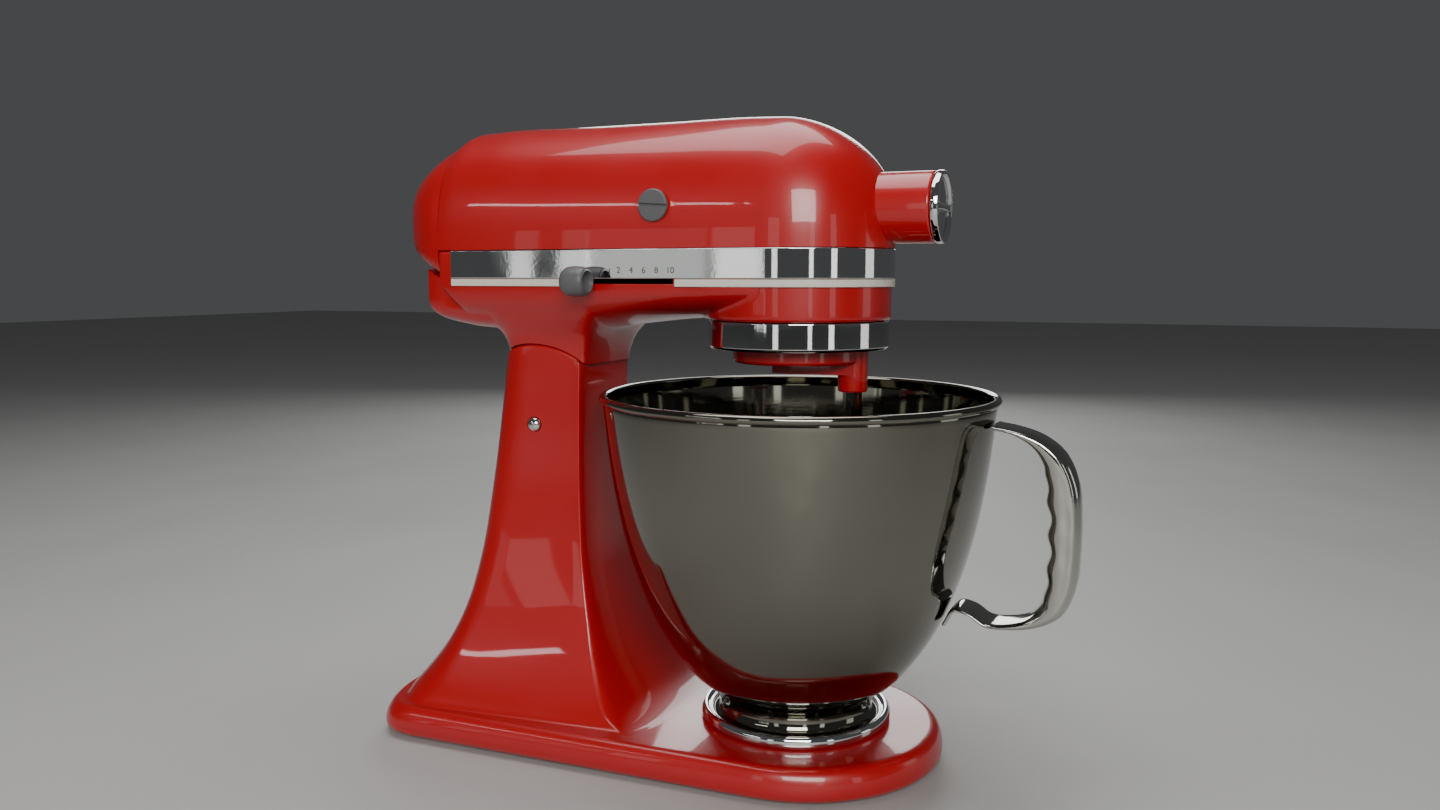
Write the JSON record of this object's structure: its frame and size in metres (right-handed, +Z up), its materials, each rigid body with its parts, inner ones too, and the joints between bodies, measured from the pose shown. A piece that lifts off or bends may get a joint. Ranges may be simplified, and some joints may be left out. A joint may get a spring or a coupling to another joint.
{
  "type": "stand mixer",
  "caption": "Tilt-head stand mixer: enamelled pedestal and head, bright trim band, attachment hub, planetary beater drive and a handled polished-steel bowl.",
  "frame": {"origin": "on the surface the mixer stands on, under the middle of its overall width and length", "axes": "+Z up; -Y towards the bowl handle and the attachment hub; +X the side away from the speed lever"},
  "size_m": [0.22, 0.3952, 0.3535],
  "materials": {
    "red_enamel": "deep gloss enamel over die-cast metal",
    "polished_steel": "mirror-polished stainless steel",
    "chrome": "bright plate",
    "cream_stripe": "smooth, pale cream",
    "grey_plastic": "satin dark grey",
    "black_rubber": "matte",
    "plain_steel": "machined",
    "cast_alloy": "as cast",
    "brass": "machined",
    "copper": "copper",
    "carbon": "sintered carbon",
    "lamination": "stacked steel sheet",
    "nylon": "natural",
    "board": "phenolic board"
  },
  "bodies": {
    "pedestal": {"pedestal": "red_enamel", "rubber_foot_1": "black_rubber", "rubber_foot_2": "black_rubber", "rubber_foot_3": "black_rubber", "rubber_foot_4": "black_rubber", "rubber_foot_5": "black_rubber", "bowl_clamp_plate": "chrome", "clamp_screw_1": "plain_steel", "clamp_screw_2": "plain_steel", "clamp_screw_3": "plain_steel", "hinge_pin": "chrome", "height_screw": "plain_steel"},
    "bowl": {"bowl": "polished_steel", "bowl_foot": "polished_steel", "bowl_handle": "polished_steel"},
    "head": {"lower_housing": "red_enamel", "upper_housing": "red_enamel", "rear_cover": "red_enamel", "rear_cover_screw": "plain_steel", "trim_band": "chrome", "trim_stripe": "cream_stripe", "trim_stripe_rear": "cream_stripe", "drip_ring": "chrome", "ring_gear": "plain_steel", "cord_grommet": "black_rubber", "gear_bracket": "cast_alloy", "field_core": "lamination", "field_winding_front": "copper", "field_winding_rear": "copper", "bearing_front": "plain_steel", "bearing_rear": "plain_steel", "rear_bearing_bracket": "cast_alloy", "speed_control_plate": "board", "brush_cap_right": "grey_plastic", "brush_cap_left": "grey_plastic", "brush_holder_right": "brass", "brush_holder_left": "brass", "carbon_brush_right": "carbon", "carbon_brush_left": "carbon", "brush_spring_right": "plain_steel", "brush_spring_left": "plain_steel"},
    "planetary": {"planetary_housing": "red_enamel", "centre_shaft": "plain_steel", "centre_gear": "plain_steel"},
    "beater": {"planet_pinion": "plain_steel", "beater_shaft": "chrome"},
    "worm_wheel": {"worm_wheel": "brass", "pinion_shaft": "plain_steel"},
    "armature": {"armature_shaft": "plain_steel", "armature_core": "lamination", "commutator": "copper", "cooling_fan": "nylon", "governor": "brass"},
    "hub_drive": {"hub_gear": "plain_steel"},
    "speed_lever": {"speed_lever": "chrome", "speed_knob": "grey_plastic"},
    "head_lock": {"head_lock": "plain_steel"},
    "attachment_knob": {"attachment_knob": "grey_plastic"},
    "hub_cap": {"hub_cap": "chrome"}
  },
  "joints": [
    {"name": "head_tilt", "type": "hinge", "parent": "pedestal", "child": "head", "pos_m": [0, 0.1065, 0.182], "axis": [-1, 0, 0], "range_deg": [0, 50]},
    {"name": "bowl_twist", "type": "hinge", "parent": "pedestal", "child": "bowl", "pos_m": [0, -0.0445, 0.0195], "axis": [0, 0, 1], "range_deg": [0, 25]},
    {"name": "planetary_spin", "type": "hinge", "parent": "head", "child": "planetary", "pos_m": [0, -0.0445, 0.226], "axis": [0, 0, 1], "continuous": true},
    {"name": "beater_spin", "type": "hinge", "parent": "planetary", "child": "beater", "pos_m": [0, -0.0758, 0.2], "axis": [0, 0, 1], "continuous": true},
    {"name": "worm_wheel_spin", "type": "hinge", "parent": "head", "child": "worm_wheel", "pos_m": [0.02413, -0.02425, 0.305], "axis": [0, 0, 1], "continuous": true},
    {"name": "motor_spin", "type": "hinge", "parent": "head", "child": "armature", "pos_m": [0, 0.0555, 0.305], "axis": [0, 1, 0], "continuous": true},
    {"name": "hub_spin", "type": "hinge", "parent": "head", "child": "hub_drive", "pos_m": [0, -0.0945, 0.3035], "axis": [0, -1, 0], "continuous": true},
    {"name": "speed_slide", "type": "slide", "parent": "head", "child": "speed_lever", "axis": [0, -1, 0], "range_m": [0, 0.05]},
    {"name": "lock_slide", "type": "slide", "parent": "head", "child": "head_lock", "axis": [0, -1, 0], "range_m": [0, 0.007]},
    {"name": "attachment_knob_turn", "type": "hinge", "parent": "head", "child": "attachment_knob", "pos_m": [0.02, -0.1065, 0.3035], "axis": [1, 0, 0], "range_deg": [0, 720]},
    {"name": "cap_pull", "type": "slide", "parent": "head", "child": "hub_cap", "axis": [0, -1, 0], "range_m": [0, 0.03]}
  ],
  "couplings": [
    {"joint": "beater_spin", "follows": "planetary_spin", "ratio": -4.25},
    {"joint": "worm_wheel_spin", "follows": "planetary_spin", "ratio": -3},
    {"joint": "motor_spin", "follows": "planetary_spin", "ratio": 30},
    {"joint": "hub_spin", "follows": "planetary_spin", "ratio": 1}
  ]
}
